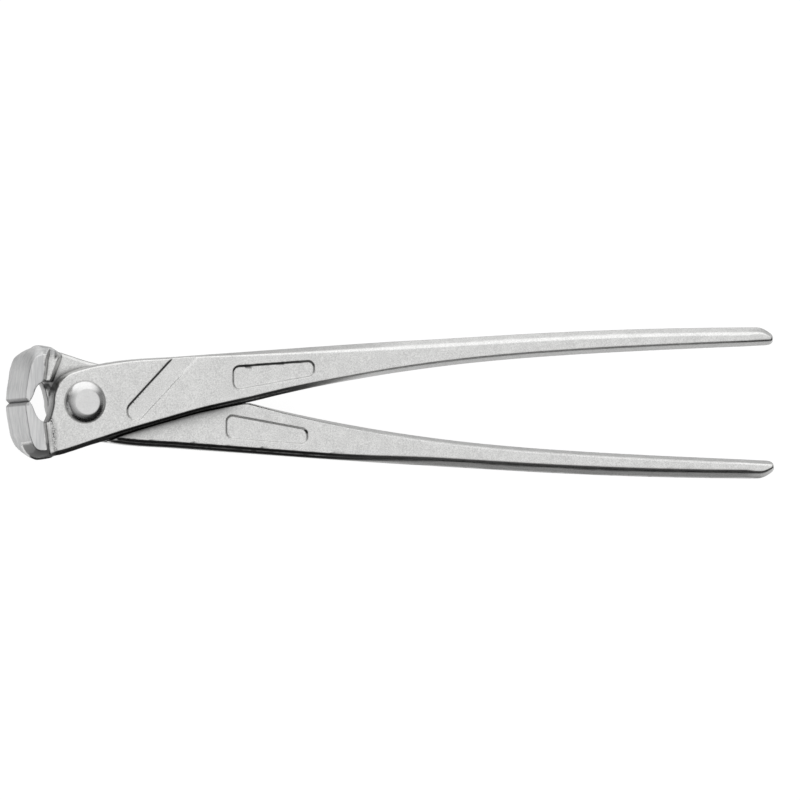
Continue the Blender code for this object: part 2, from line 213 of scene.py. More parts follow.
# Where the forging is ground, and the patch of forged skin that the grinding leaves, with the shade
# painted on that patch
GROUND_OVERRUN = 0.0003
GROUND_EDGE = 0.0024
GROUND_EDGE_END = 0.0127
SKIN_CORNER = (0.0013, -0.0137)
SKIN_SLANT = 0.56
SKIN_RIPPLES = ((0.00012, 0.00035), (0.00008, 0.00011))
SKIN_TOP = -0.0130
SKIN_LEVEL = -0.0020
SKIN_FACING = 0.9
SKIN_END = 0.0125
SKIN_PAINTED_SHADE = 0.85
SKIN_UNDERSIDE = -0.75

# Where shade is painted on the forging: the closed tool's hollows, the cutting edge's groove, the
# jaw's back wall and the crease
SPARSE = 3
HOLLOW_ROUNDS = 10
HOLLOW_REACH = 0.0010
HOLLOW_START = 0.30
HOLLOW_RUN = 0.40
HOLLOW_END = 0.0660
LAP_HOLLOW_END = 0.0340
GROOVE_OVERRUN = (0.0002, 0.0001)
GROOVE_PAINTED_SHADE = 0.5
BESIDE_JAW_END = 0.0150
BESIDE_JAW_BAND = (0.0030, 0.0075)
FLANK_RUN = (0.0078, 0.0125)
FLANK_RISE = (-0.0078, 0.0090)
FLANK_FACING = 0.85
FLANK_PAINTED_SHADE = 0.6
CREASE = (0.0103, -0.0052)
CREASE_SIZE = (0.0013, 0.0011)
CREASE_LEVEL = 0.0020
CREASE_PAINTED_SHADE = 1.6

# Where shade is painted on the trimmed bands and on the recess beside the other lever's underside
TRIM_FLAT = 0.965
TRIM_FADE = 0.10
TRIM_LEVELS = (0.0012, 0.0028)
TRIM_FACING = (0.05, 0.25)
UNDER_SHADE_START = (0.0090, 0.0120)
OUTSIDE_SHADE_START = (0.0260, 0.0320)
OUTSIDE_SHARE = 0.5
RAMP_SHADE = 0.95
RAMP_SHADE_REACH = 0.0013
RAMP_SHADE_OVERRUN = 0.0004
RAMP_SHADE_LEVEL = -0.0035
RAMP_SHADE_END = (0.0640, CROSSING_FROM_LIPS + 0.0010)

# The scuffed line beside the jaw
SCUFF_LINE = ((0.0099, -0.0052), (0.0112, -0.0152))
SCUFF_WIDTH = 0.0006
SCUFF_LEVEL = 0.0040

# The rivet. Its dome is given by steps from the head's radius and from its top
BORE_STEPS = 96
RIVET_STEPS = 160
RIVET_FOOT_STEP = 0.0001
RIVET_FLAT_RINGS = (0.0016, 0.0008, 0.0)
RIVET_SHARP_ANGLE = math.radians(50)
DOME_POINTS = 40
SHANK_RADIUS = 0.0045
RIVET_HEAD_RADIUS = 0.0068
RIVET_HEAD_HEIGHT = 0.0030
RIVET_DOME = (
    (-0.00002, -0.00305), (-0.00012, -0.0027), (-0.00036, -0.00222), (-0.0007, -0.00180),
    (-0.0012, -0.00130), (-0.0018, -0.00082), (-0.0024, -0.00040), (-0.0028, -0.00016),
    (-0.0031, -0.00005), (-0.0034, 0.0),
)

# The volume that the forging is built in, in steps of one voxel about the pivot
VOXEL = 0.0002
LOW = np.array((-0.0224, -0.0204, -0.0126))
HIGH = np.array((0.2304, 0.0260, 0.0126))
CORNER = np.round(LOW / VOXEL).astype(int)
SHAPE = tuple(np.round((HIGH - LOW) / VOXEL).astype(int) + 1)
BAND = 18
ADAPTIVITY = 0.02
NORMAL_REACH = 0.8
TINY = 1e-12
AXES = np.ix_(*[
    (np.arange(SHAPE[a]) + CORNER[a]).astype(np.float32) * np.float32(VOXEL) for a in range(3)
])

# The steels: colours of the darker and the lighter grains and of the painted shade, and where the
# grain's noise turns
FORGED_COLORS = ((0.52, 0.52, 0.515, 1), (0.79, 0.79, 0.78, 1))
FORGED_SHADE_AND_PIT_COLOR = (0.04, 0.04, 0.04, 1)
FORGED_PAINTED_SHADE_SHARE = 0.94
FORGED_TONES = (0.28, 0.72)
SPECK_SHARE = 0.45
CLOUD_SHARE = 0.2
PIT_TONES = (0.42, 0.52)
FORGED_ROUGHNESS = 0.31
CLOUD_ROUGHNESS = 0.06
HOLLOW_ROUGHNESS = 0.12
FORGED_BUMP = {"Strength": 0.24, "Distance": 0.00008}

GROUND_COLORS = ((0.52, 0.525, 0.53, 1), (0.76, 0.76, 0.755, 1))
GROUND_PAINTED_SHADE = (0.12, 0.12, 0.12, 1)
GROUND_PAINTED_SHADE_SHARE = 0.85
GROUND_TONES = (0.30, 0.70)
WIDE_SHARE = 0.45
GROOVE_DIRECTION = (0.12, 1.0, 0.30)
GROUND_ROUGHNESS = 0.42
GROUND_ANISOTROPY = 0.7
GROUND_BUMP = {"Strength": 0.20, "Distance": 0.00005}

RIVET_COLORS = ((0.56, 0.56, 0.56, 1), (0.74, 0.74, 0.735, 1))
COARSE_SHARE = 0.5
RIVET_ROUGHNESS = 0.18
COARSE_ROUGHNESS = 0.08
RIVET_BUMP = {"Strength": 0.15, "Distance": 0.00005}

# The studio: where each light starts and is full, as parts of a direction, and its strength
WALL_ACROSS = (0.30, 0.92)
WALL_LIGHT = 1.42
SIDE_ACROSS = (-0.20, 0.30)
SIDE_LIGHT = 0.08
ENDS_ALONG = (0.55, 0.95)
ENDS_HEIGHT = (-0.25, 0.10)
ENDS_ACROSS = (-0.30, 0.20)
ENDS_LIGHT = 0.30
OVERHEAD_HEIGHT = (0.26, 0.85)
OVERHEAD_LIGHT = 1.02
BELOW_DEPTH = (0.46, 0.60)
BELOW_ACROSS = (-0.5, 0.4)
BELOW_LIGHTS = (0.76, 0.55)
NADIR_DEPTH = (0.74, 0.92)
NADIR_ASIDE = (0.04, 0.42)
NADIR_LIGHT = 1.45

# The white floor
FLOOR_HALF = 3.0
FLOOR_LEVEL = -0.0004
FLOOR_GLOW = 0.93

# The camera, far away, since the photograph shows hardly any perspective
SENSOR = 36.0
CAMERA_DISTANCE = 11.0
CAMERA_CLIP = (1.0, 60.0)
PICTURE_WIDTH = 0.25236
PICTURE_UP = (0.0, 1.0, 0.0266)
PICTURE_RIGHT = (0.9557, 0.0, 0.294)
PICTURE_CENTRE = (0.00140, 0.00086, HALF_JAW)
PICTURE_ROLL = 0.0006


def smooth_curve(knots, places):
    """The values at some places of a smooth curve through knots of place and value."""
    x, y = np.array(knots, float).T
    step = np.diff(x)
    rise = np.diff(y) / step
    slope = np.empty_like(y)
    slope[1:-1] = (rise[:-1] * step[1:] + rise[1:] * step[:-1]) / (step[:-1] + step[1:])
    slope[0] = rise[0]
    slope[-1] = rise[-1]
    i = np.clip(np.searchsorted(x, places) - 1, 0, len(step) - 1)
    t = (places - x[i]) / step[i]
    bend = (1 + 2 * t) * (1 - t) ** 2 * y[i] + t**2 * (3 - 2 * t) * y[i + 1]
    return bend + step[i] * t * (1 - t) * ((1 - t) * slope[i] - t * slope[i + 1])


def smooth_path(points, count):
    """Evenly spaced points of a smooth line through the given ones."""
    points = np.array(points, float)
    run = np.concatenate([[0], np.cumsum(np.linalg.norm(np.diff(points, axis=0), axis=1))])
    places = np.linspace(0, run[-1], count)
    return np.column_stack([smooth_curve(list(zip(run, axis)), places) for axis in points.T])


def table_curve(shares, start, run, base, rise):
    """Knots of an edge from shares of its run and of its rise."""
    return [(start + along * run, base + up * rise) for along, up in shares]


UNDERSIDE = table_curve(
    UNDERSIDE_SHARES, SHOULDER_FROM_LIPS, CROSSING_FROM_LIPS - SHOULDER_FROM_LIPS,
    0, -SHOULDER_HEIGHT,
)
INNER_EDGE = UNDERSIDE[:-1] + table_curve(
    INNER_EDGE_SHARES, CROSSING_FROM_LIPS, LENGTH - CROSSING_FROM_LIPS, 0, INNER_TIP_HEIGHT
)
OUTER_EDGE = table_curve(
    OUTER_EDGE_SHARES, HANDLE_START, LENGTH - HANDLE_START,
    OUTER_START_HEIGHT, OUTER_TIP_HEIGHT - OUTER_START_HEIGHT,
)


def smooth_step(value, low, high):
    """0 below low, 1 above high and a soft change between them."""
    share = np.clip((value - low) / (high - low), 0, 1)
    return share * share * (3 - 2 * share)


def taper(x):
    """How far a place is on the way from the joint's thickness to the handle's."""
    return np.clip((x - TAPER_START) / (TAPER_END - TAPER_START), 0, 1)


def half_thickness(x):
    return HALF_JOINT + (HALF_HANDLE - HALF_JOINT) * taper(x)


def loft(rings):
    """Points and triangles of a closed solid through rings of equally many points."""
    count = len(rings[0])
    faces = [list(range(count)), list(range((len(rings) - 1) * count, len(rings) * count))]
    for ring in range(len(rings) - 1):
        low = ring * count
        for i in range(count):
            j = (i + 1) % count
            faces.append((low + i, low + j, low + count + j, low + count + i))
    points = np.concatenate(rings)
    mesh = bpy.data.meshes.new("loft")
    mesh.from_pydata(points.tolist(), [], faces)
    mesh.calc_loop_triangles()
    corners = np.empty(len(mesh.loop_triangles) * 3, np.int32)
    mesh.loop_triangles.foreach_get("vertices", corners)
    bpy.data.meshes.remove(mesh)
    return points, corners.reshape(-1, 3)


def distances(rings):
    """The signed distance to a loft at every voxel, kept within the band."""
    points, corners = loft(rings)
    grid = openvdb.FloatGrid.createLevelSetFromPolygons(
        np.ascontiguousarray(points, np.float32),
        triangles=np.ascontiguousarray(corners, np.uint32),
        transform=openvdb.createLinearTransform(voxelSize=VOXEL),
        halfWidth=BAND,
    )
    values = np.empty(SHAPE, np.float32)
    grid.copyToArray(values, ijk=tuple(int(c) for c in CORNER))
    return values


def joined(a, b, soft):
    """The union of two volumes, with a fillet where soft is above zero."""
    near = np.maximum(1 - np.abs(a - b) / soft, 0)
    return np.minimum(a, b) - near * near * soft / 4


def cut(a, b, soft):
    """Volume a without volume b, with the cut's outer edges rounded."""
    return -joined(-a, b, soft)


def softened(values, rounds):
    """Blurs a volume a little more with each round, which rounds its edges."""
    for _ in range(rounds):
        for axis in range(3):
            ahead = np.roll(values, -1, axis)
            behind = np.roll(values, 1, axis)
            values = (ahead + behind) / 4 + values / 2
    return values


def corner_curve(shoulder, height, corner, power):
    """The round corner of a jaw, from its front to its shoulder."""
    angles = np.linspace(0, math.pi / 2, CURVE_POINTS)
    along = shoulder * (1 - np.cos(angles) ** (2 / power))
    up = height - corner * (1 - np.sin(angles) ** (2 / power))
    return np.column_stack([along, up])


def jaw_ring(level):
    """The jaw's outline at a level: its crowned outside, its back, its hollow and its lip."""
    crown = 1 - abs(level / HALF_JAW) ** CROWN_POWER
    sides = LAP_SIDE if level > 0 else RECESS_SIDE
    side = corner_curve(*sides)
    middle = corner_curve(*MIDDLE)
    outside = side + (middle - side) * crown
    front = np.linspace(LIP_GAP + BEVEL_HEIGHT, outside[0, 1], FRONT_POINTS)[:-1]
    outside = np.concatenate([np.column_stack([np.zeros(len(front)), front]), outside])
    up = outside[:, 1]
    tuck = smooth_step(up, *FRONT_TUCK_START) * (1 - smooth_step(up, *FRONT_TUCK_END))
    outside[:, 0] += FRONT_TUCK * tuck
    if abs(level) < HALF_JOINT:
        foot = (BACK_INSIDE, HOLLOW_HEIGHT)
        back_x = BACK_INSIDE
        sink = BACK_SINK
    else:
        share = (HALF_JAW - abs(level)) / (HALF_JAW - HALF_JOINT)
        foot = (BACK_AT_SIDE + (BACK_AT_JOINT - BACK_AT_SIDE) * share, HOLLOW_HEIGHT)
        back_x = foot[0] + BACK_LEAN
        sink = 0
    rise = -smooth_curve(INNER_EDGE, np.array([back_x]))[0] - sides[1]
    back = (back_x, sides[1] + rise * crown - sink)
    knots = [(BEVEL_DEPTH + LIP_LAND, LIP_GAP)]
    knots += [(x * HOLLOW_LENGTH, y * HOLLOW_HEIGHT) for x, y in HOLLOW_SHARES]
    hollow = smooth_path(knots, CURVE_POINTS)[::-1]
    lip = [(BEVEL_DEPTH, LIP_GAP)]
    outline = np.concatenate([outside, [back, foot], hollow, lip])
    return np.column_stack([
        outline[:, 0] - PIVOT_FROM_LIPS, -outline[:, 1], np.full(len(outline), level),
    ])


def jaw_rings():
    slope = np.linspace(HALF_JAW, HALF_JOINT, JAW_SLOPE_RINGS)
    crown = np.linspace(HALF_JOINT - JAW_CROWN_STEP, 0, JAW_CROWN_RINGS)
    half = np.concatenate([slope, crown])
    return [jaw_ring(level) for level in np.concatenate([half, -half[-2::-1]])]


def lever_edges():
    """The lever's outer and inner edge in plan, with equally many points."""
    foot = [(x * HOLLOW_LENGTH, -y * HOLLOW_HEIGHT) for x, y in RIM_FOOT_SHARES]
    arc = [
        (PIVOT_FROM_LIPS + JOINT_RADIUS * math.cos(a), JOINT_RADIUS * math.sin(a))
        for a in np.linspace(*JOINT_ARC, JOINT_ARC_POINTS)
    ]
    upper = smooth_path(foot + arc + OUTER_EDGE[:2], EDGE_POINTS)
    joint_end = upper[-1, 0]
    low = np.linspace(SHOULDER_FROM_LIPS, joint_end, EDGE_POINTS)
    lower = np.column_stack([low, smooth_curve(INNER_EDGE, low)])
    run = np.linspace(joint_end, LENGTH + TIP_OVERRUN, HANDLE_POINTS)[1:]
    upper = np.concatenate([upper, np.column_stack([run, smooth_curve(OUTER_EDGE, run)])])
    lower = np.concatenate([lower, np.column_stack([run, smooth_curve(INNER_EDGE, run)])])
    return upper, lower


def inward(edge, side):
    """Unit steps square to an edge, to its right where side is 1 and to its left where it is -1."""
    run = np.gradient(edge, axis=0)
    run /= np.linalg.norm(run, axis=1)[:, None]
    return side * np.column_stack([run[:, 1], -run[:, 0]])


def even(points):
    """The same line through evenly spaced points."""
    points = np.array(points, float)
    run = np.concatenate([[0], np.cumsum(np.linalg.norm(np.diff(points, axis=0), axis=1))])
    places = np.linspace(0, run[-1], PROFILE_POINTS)
    return np.column_stack([np.interp(places, run, axis) for axis in points.T])


def edge_profile(parting, draft, radius, half):
    """A leaning flank that meets the face in a fillet, as steps inward and levels."""
    flank = np.array((draft, half - parting))
    flank /= np.linalg.norm(flank)
    lean = math.acos(flank[0])
    reach = radius * math.tan(lean / 2)
    turns = np.linspace(math.pi / 2 + lean, math.pi / 2, FILLET_POINTS)
    centre = np.array((draft + reach, half - radius))
    fillet = centre + radius * np.column_stack([np.cos(turns), np.sin(turns)])
    return np.concatenate([[(0, parting)], fillet])


def chamfered_profile(draft, chamfer, half):
    """A handle's edge: a leaning flank, a steep chamfer and the face, with small roundings."""
    low = np.array((draft, half - chamfer * CHAMFER_LEAN))
    high = np.array((draft + chamfer, half))
    slope = [low + (high - low) * share for share in CHAMFER_SHARES]
    face = [high + (step, 0) for step in (FACE_START, FACE_END)]
    return np.array([(0, 0), low * FLANK_SHARE, *slope, *face])


def neck_profile(parting, draft, radius, rise, half):
    """The neck's flank, which turns into the face in a wide rounding."""
    turns = np.linspace(0, math.pi / 2, FILLET_POINTS)
    inward_steps = draft + radius * (1 - np.cos(turns))
    levels = half - rise * (1 - np.sin(turns))
    return np.concatenate([[(0, parting)], np.column_stack([inward_steps, levels])])


def blend(low, high, share):
    return np.array(low) + (np.array(high) - np.array(low)) * share


def lever_ring(high, low, into_high, into_low):
    """A slice across the lever: the lap's half above the parting plane, the recess's below it."""
    x = low[0]
    slim = taper(x)
    half = half_thickness(x)
    from_rim = np.clip((high[0] - HOLLOW_LENGTH) / (PIVOT_FROM_LIPS - HOLLOW_LENGTH), 0, 1)
    neck = np.clip((NECK_END - x) / (NECK_END - NECK_START), 0, 1)
    parting = PARTING_SHARE * half * (1 - slim)
    rim = blend((RIM_DRAFT, RIM_EDGE_RADIUS), JOINT_OUTER, from_rim)
    draft, radius = blend(rim, HANDLE_OUTER, slim)
    upper = even(edge_profile(parting, draft, radius, half))
    upper = blend(upper, even(chamfered_profile(HANDLE_OUTER[0], OUTER_CHAMFER, half)), slim)
    draft, radius = blend(JOINT_INNER, HANDLE_INNER, slim)
    lower = even(edge_profile(parting, draft, radius, half))
    lower = blend(lower, even(chamfered_profile(HANDLE_INNER[0], INNER_CHAMFER, half)), slim)
    trimmed = even([(step, z * half / HALF_JOINT) for step, z in TRIM_PROFILE])
    under = smooth_step(x, *UNDERSIDE_TRIM_END)
    outside = smooth_step(x, *OUTSIDE_TRIM_END)
    outside = max(outside, 1 - smooth_step(x, *OUTSIDE_TRIM_START))
    lap_low = blend(trimmed, lower, under)
    recess_high = blend(trimmed, upper, outside)
    parting *= 1 - neck
    neck_side = even(neck_profile(parting, NECK_DRAFT, NECK_RADIUS, half - NECK_FOOT, half))
    recess_low = blend(lower, neck_side, neck)
    lean = UNDERSIDE_LEAN * (1 - smooth_step(x, *UNDERSIDE_LEAN_END)) / (2 * half)
    lap = [(*(high + into_high * step), z) for step, z in upper]
    lap += [(*(low + into_low * (step + lean * (half - z))), z) for step, z in lap_low[::-1]]
    recess = [(*(low + into_low * (step + lean * (half + z))), -z) for step, z in recess_low]
    recess += [(*(high + into_high * step), -z) for step, z in recess_high[::-1]]
    return np.array(lap + recess) - (PIVOT_FROM_LIPS, 0, 0)


def lever_rings():
    upper, lower = lever_edges()
    into_upper = inward(upper, 1)
    into_lower = inward(lower, -1)
    return [
        lever_ring(upper[i], lower[i], into_upper[i], into_lower[i]) for i in range(len(upper))
    ]


def tip_outline():
    """The handle's end in plan: a long outer corner and a short inner one."""
    start = TIP_BLEND[0] - TIP_LEAD
    outer_start, outer = smooth_curve(OUTER_EDGE, np.array([start, LENGTH]))
    inner_start, inner = smooth_curve(INNER_EDGE, np.array([start, LENGTH]))
    along = LENGTH - np.array(TIP_ALONG_EDGE)[:, 0]
    edge = smooth_curve(OUTER_EDGE, along) - np.array(TIP_ALONG_EDGE)[:, 1]
    outline = [(start, outer_start), *zip(along, edge)]
    outline += [(LENGTH - x, outer - drop) for x, drop in TIP_CORNER]
    outline += [(LENGTH - x, inner + up) for x, up in TIP_CORNER_INSIDE]
    return np.array(outline + [(start, inner_start)])


def rounded_tip(values):
    """Ends the handle in its rounded tip, with the same draft and edges as its sides."""
    first = int(round((TIP_BLEND[0] - PIVOT_FROM_LIPS) / VOXEL)) - CORNER[0]
    x = AXES[0][first:] + np.float32(PIVOT_FROM_LIPS)
    y = AXES[1]
    outline = tip_outline()
    plan = np.full(np.broadcast(x[..., 0], y[..., 0]).shape, 1.0)
    inside = np.zeros(plan.shape, bool)
    px, py = np.broadcast_arrays(x[..., 0], y[..., 0])
    for (ax, ay), (bx, by) in zip(outline, np.roll(outline, -1, axis=0)):
        run = np.array((bx - ax, by - ay))
        share = np.clip(((px - ax) * run[0] + (py - ay) * run[1]) / (run @ run), 0, 1)
        plan = np.minimum(plan, np.hypot(px - ax - share * run[0], py - ay - share * run[1]))
        crosses = (ay > py) != (by > py)
        inside ^= crosses & (px < ax + (py - ay) / (by - ay + TINY) * run[0])
    plan = np.where(inside, -plan, plan)[..., None]
    level = np.abs(AXES[2])
    from_edge = y - smooth_curve(INNER_EDGE, x.ravel())[:, None, None]
    lean = np.clip((from_edge - TIP_LEAN_START) / TIP_LEAN_RUN, 0, 1)
    draft = HANDLE_INNER[0] + (HANDLE_OUTER[0] - HANDLE_INNER[0]) * lean
    chamfer = INNER_CHAMFER + (OUTER_CHAMFER - INNER_CHAMFER) * lean
    slope = draft / (HALF_HANDLE - chamfer * CHAMFER_LEAN)
    flank = (plan + slope * level) / np.hypot(1, slope)
    beyond = plan + draft + chamfer - (HALF_HANDLE - level) / CHAMFER_LEAN
    edge = beyond / math.hypot(1, 1 / CHAMFER_LEAN)
    tip = cut(cut(flank, -edge, TIP_SOFT), HALF_HANDLE - level, TIP_SOFT)
    share = np.clip((x - TIP_BLEND[0]) / (TIP_BLEND[1] - TIP_BLEND[0]), 0, 1)
    limit = BAND * VOXEL
    values[first:] += share * (np.clip(tip, -limit, limit) - values[first:])
    return values


def recess_rings():
    """The space for the other lever, from the lap's face to beyond the lever's far face."""
    nose = -HOLLOW_HEIGHT - RECESS_DROP
    start = SHOULDER_FROM_LIPS + RAMP_START_SHARE * (CROSSING_FROM_LIPS - SHOULDER_FROM_LIPS)
    along = np.linspace(start, CROSSING_FROM_LIPS, RAMP_POINTS)
    overhang = RAMP_OVERHANG * np.sin(np.linspace(0, math.pi, RAMP_POINTS))
    rings = []
    for depth in np.linspace(0, HALF_JAW, RECESS_RINGS):
        spread = depth / HALF_JOINT
        foot = RECESS_FOOT - RECESS_SLOPE_RUN * spread
        slope = -overhang * min(spread, 1) ** RAMP_OVERHANG_POWER
        ramp = zip(along, RAMP_CLEARANCE + slope - smooth_curve(INNER_EDGE, along))
        outline = [
            (foot + RECESS_LEAN_SHARE * (RECESS_REACH + nose), -RECESS_REACH),
            (foot, nose),
            (BACK_AT_SIDE, nose),
            (BACK_AT_SIDE, RECESS_REACH),
            (start, RECESS_REACH),
            *ramp,
            (CROSSING_FROM_LIPS + RECESS_END_LEAN, -RECESS_REACH),
        ]
        rings.append(np.array([(x - PIVOT_FROM_LIPS, y, HALF_GAP - depth) for x, y in outline]))
    return rings


def rounded_outline(corners):
    """The outline through some corners, each rounded with the panels' radius."""
    corners = np.array(corners)
    outline = []
    for i, corner in enumerate(corners):
        before = corners[i - 1] - corner
        after = corners[(i + 1) % len(corners)] - corner
        before /= np.linalg.norm(before)
        after /= np.linalg.norm(after)
        half_angle = math.acos(np.clip(before @ after, -1, 1)) / 2
        reach = PANEL_CORNER / math.tan(half_angle)
        middle = before + after
        centre = corner + middle / np.linalg.norm(middle) * PANEL_CORNER / math.sin(half_angle)
        first = corner + before * reach - centre
        last = corner + after * reach - centre
        for share in np.linspace(0, 1, CORNER_POINTS):
            arm = first + (last - first) * share
            outline.append(centre + arm / np.linalg.norm(arm) * PANEL_CORNER)
    return outline


def slot_outline():
    """The slanted slot, from its round end out over the lever's edge."""
    centre = np.array([SLOT_END_FROM_LIPS, SLOT_END_HEIGHT])
    along = np.array([math.cos(SLOT_ANGLE), math.sin(SLOT_ANGLE)])
    across = np.array([-along[1], along[0]])
    radius = SLOT_WIDTH / 2
    outline = [
        centre + radius * (across * math.cos(turn) - along * math.sin(turn))
        for turn in np.linspace(0, math.pi, SLOT_POINTS)
    ]
    outline.append(outline[-1] + along * SLOT_LENGTH)
    outline.append(outline[0] + along * SLOT_LENGTH)
    return outline


def panel_outline(start):
    return rounded_outline([(start + x, y) for x, y in PANEL_CORNERS])


def panel_rings(outline, face):
    """A recess with leaning walls, on the face above the parting plane (1) or below it (-1)."""
    outline = np.array(outline)
    run = np.roll(outline, -1, axis=0) - np.roll(outline, 1, axis=0)
    into = np.column_stack([-run[:, 1], run[:, 0]]) / np.linalg.norm(run, axis=1)[:, None]
    middle = outline.mean(axis=0)
    if ((middle - outline) * into).sum() < 0:
        into = -into
    rings = []
    for inset, depth in ((PANEL_WALL_RUN, PANEL_DEPTH), (0, 0), (0, -PANEL_OVERRUN)):
        ring = outline + into * inset
        level = face * (half_thickness(ring[:, 0]) - depth)
        rings.append(np.column_stack([ring[:, 0] - PIVOT_FROM_LIPS, ring[:, 1], level]))
    return rings


def circle(radius, level, steps):
    turns = np.linspace(0, 2 * math.pi, steps, endpoint=False)
    return np.column_stack([radius * np.cos(turns), radius * np.sin(turns), np.full(steps, level)])


def bore_rings():
    return [circle(SHANK_RADIUS + RUNNING_GAP, z, BORE_STEPS) for z in (-HALF_JAW, HALF_JAW)]


def blank_forging():
    """The forging before its panels are pressed in."""
    from_lips = AXES[0] + np.float32(PIVOT_FROM_LIPS)
    from_edge = AXES[1] - smooth_curve(INNER_EDGE, from_lips.ravel())[:, None, None]
    outer = 1 - smooth_step(from_edge, *OUTER_BAND)
    lap = smooth_step(AXES[2], *LAP_BAND)
    jaw_soft = JAW_SOFT + OUTER_JAW_SOFT * outer * (1 - LESS_AT_LAP_SHARE * lap)
    forging = joined(distances(lever_rings()), distances(jaw_rings()), jaw_soft)
    wall = (1 - smooth_step(from_lips, *WALL_END)) * (1 - outer)
    ramp = smooth_step(from_lips, *RAMP_START) * (AXES[1] > 0)
    recess_soft = RECESS_SOFT - LESS_AT_WALL * wall - LESS_AT_RAMP * ramp
    forging = cut(forging, distances(recess_rings()), recess_soft)
    forging = np.maximum(forging, -distances(bore_rings()))
    return rounded_tip(forging)


def crevices(values):
    """How full the closed tool is around each place, on every third voxel."""
    filled = (values[::SPARSE, ::SPARSE, ::SPARSE] < 0).astype(np.float32)
    other = np.zeros_like(filled)
    rows, layers = (
        round(-2 * CORNER[axis] / SPARSE) - np.arange(filled.shape[axis]) for axis in (1, 2)
    )
    rows_in = (rows >= 0) & (rows < filled.shape[1])
    layers_in = (layers >= 0) & (layers < filled.shape[2])
    part = filled[:, rows[rows_in]][:, :, layers[layers_in]]
    other[np.ix_(np.arange(len(other)), np.where(rows_in)[0], np.where(layers_in)[0])] = part
    return softened(np.maximum(filled, other), HOLLOW_ROUNDS)


def surface(values):
    """The surface's points, their outward normals, and its triangles and quads."""
    grid = openvdb.FloatGrid(float(BAND * VOXEL))
    grid.copyFromArray(np.ascontiguousarray(values), ijk=tuple(int(c) for c in CORNER))
    grid.transform = openvdb.createLinearTransform(voxelSize=VOXEL)
    points, triangles, quads = grid.convertToPolygons(0.0, ADAPTIVITY)
    points = points.astype(np.float64)
    place = points / VOXEL - CORNER
    normals = np.empty_like(points)
    for axis in range(3):
        ahead, behind = place.copy(), place.copy()
        ahead[:, axis] += NORMAL_REACH
        behind[:, axis] -= NORMAL_REACH
        normals[:, axis] = sample(values, ahead) - sample(values, behind)
    normals /= np.linalg.norm(normals, axis=1)[:, None] + TINY
    return points, normals, triangles.astype(np.int64), quads.astype(np.int64)


def sample(values, place):
    """Values between voxels, at places counted in voxels."""
    low = np.floor(place).astype(int)
    part = place - low
    total = np.zeros(len(place))
    for corner in range(8):
        bits = np.array([corner >> a & 1 for a in range(3)])
        weight = np.prod(np.where(bits, part, 1 - part), axis=1)
        i, j, k = np.clip(low + bits, 0, np.array(values.shape) - 1).T
        total += weight * values[i, j, k]
    return total


def linked(name, data):
    obj = bpy.data.objects.new(name, data)
    bpy.context.scene.collection.objects.link(obj)
    return obj


def mesh_object(name, points, normals, triangles, quads):
    """A smooth object from points with their normals."""
    mesh = bpy.data.meshes.new(name)
    corners = np.concatenate([triangles.ravel(), quads.ravel()])
    starts = np.concatenate([
        np.arange(len(triangles)) * 3, triangles.size + np.arange(len(quads)) * 4,
    ])
    mesh.vertices.add(len(points))
    mesh.vertices.foreach_set("co", np.ascontiguousarray(points, np.float32).ravel())
    mesh.loops.add(len(corners))
    mesh.loops.foreach_set("vertex_index", corners.astype(np.int32))
    mesh.polygons.add(len(starts))
    mesh.polygons.foreach_set("loop_start", starts.astype(np.int32))
    mesh.polygons.foreach_set("use_smooth", np.ones(len(starts), bool))
    mesh.update(calc_edges=True)
    mesh.validate()
    mesh.normals_split_custom_set_from_vertices(normals.astype(np.float32))
    return linked(name, mesh)


def placed(points, turned, origin):
    """Moves points from the forging's own axes to the tool, turned half a turn for the rear one."""
    if turned:
        points = points * (1, -1, -1)
    return points + np.array(origin)


def node(tree, kind, values=None, **settings):
    """A new node, with its settings and with values or links for its inputs."""
    made = tree.nodes.new(kind)
    for name, value in settings.items():
        setattr(made, name, value)
    for name, value in (values or {}).items():
        socket = made.inputs[name]
        if isinstance(value, bpy.types.NodeSocket):
            tree.links.new(value, socket)
        else:
            socket.default_value = value
    return made


def math_node(tree, operation, a, b=None, clamp=False):
    values = {0: a}
    if b is not None:
        values[1] = b
    return node(tree, "ShaderNodeMath", values, operation=operation, use_clamp=clamp).outputs[0]


def mix_number(tree, factor, a, b):
    return node(
        tree, "ShaderNodeMix", {"Factor": factor, "A": a, "B": b}, data_type="FLOAT"
    ).outputs["Result"]


def mix_color(tree, factor, a, b):
    made = node(tree, "ShaderNodeMix", data_type="RGBA")
    for index, value in ((0, factor), (6, a), (7, b)):
        if isinstance(value, bpy.types.NodeSocket):
            tree.links.new(value, made.inputs[index])
        else:
            made.inputs[index].default_value = value
    return made.outputs[2]


def new_material(name):
    material = bpy.data.materials.new(name)
    material.use_nodes = True
    tree = material.node_tree
    return material, tree, tree.nodes["Principled BSDF"]


def noise(tree, vector, scale, detail=2.0, roughness=0.5):
    return node(
        tree, "ShaderNodeTexNoise",
        {"Vector": vector, "Scale": scale, "Detail": detail, "Roughness": roughness},
    ).outputs["Fac"]


def stretched(tree, vector, scales):
    return node(
        tree, "ShaderNodeVectorMath", {0: vector, 1: scales}, operation="MULTIPLY"
    ).outputs[0]


def band(tree, value, low, high):
    """0 below low, 1 above high."""
    return node(
        tree, "ShaderNodeMapRange", {"Value": value, "From Min": low, "From Max": high},
        interpolation_type="SMOOTHSTEP",
    ).outputs["Result"]


def finish_steel(tree, shader, color, bump, height):
    """Links a steel's colour and its bump, and makes it a metal."""
    tree.links.new(color, shader.inputs["Base Color"])
    bumped = node(tree, "ShaderNodeBump", {**bump, "Height": height})
    tree.links.new(bumped.outputs["Normal"], shader.inputs["Normal"])
    shader.inputs["Metallic"].default_value = 1.0


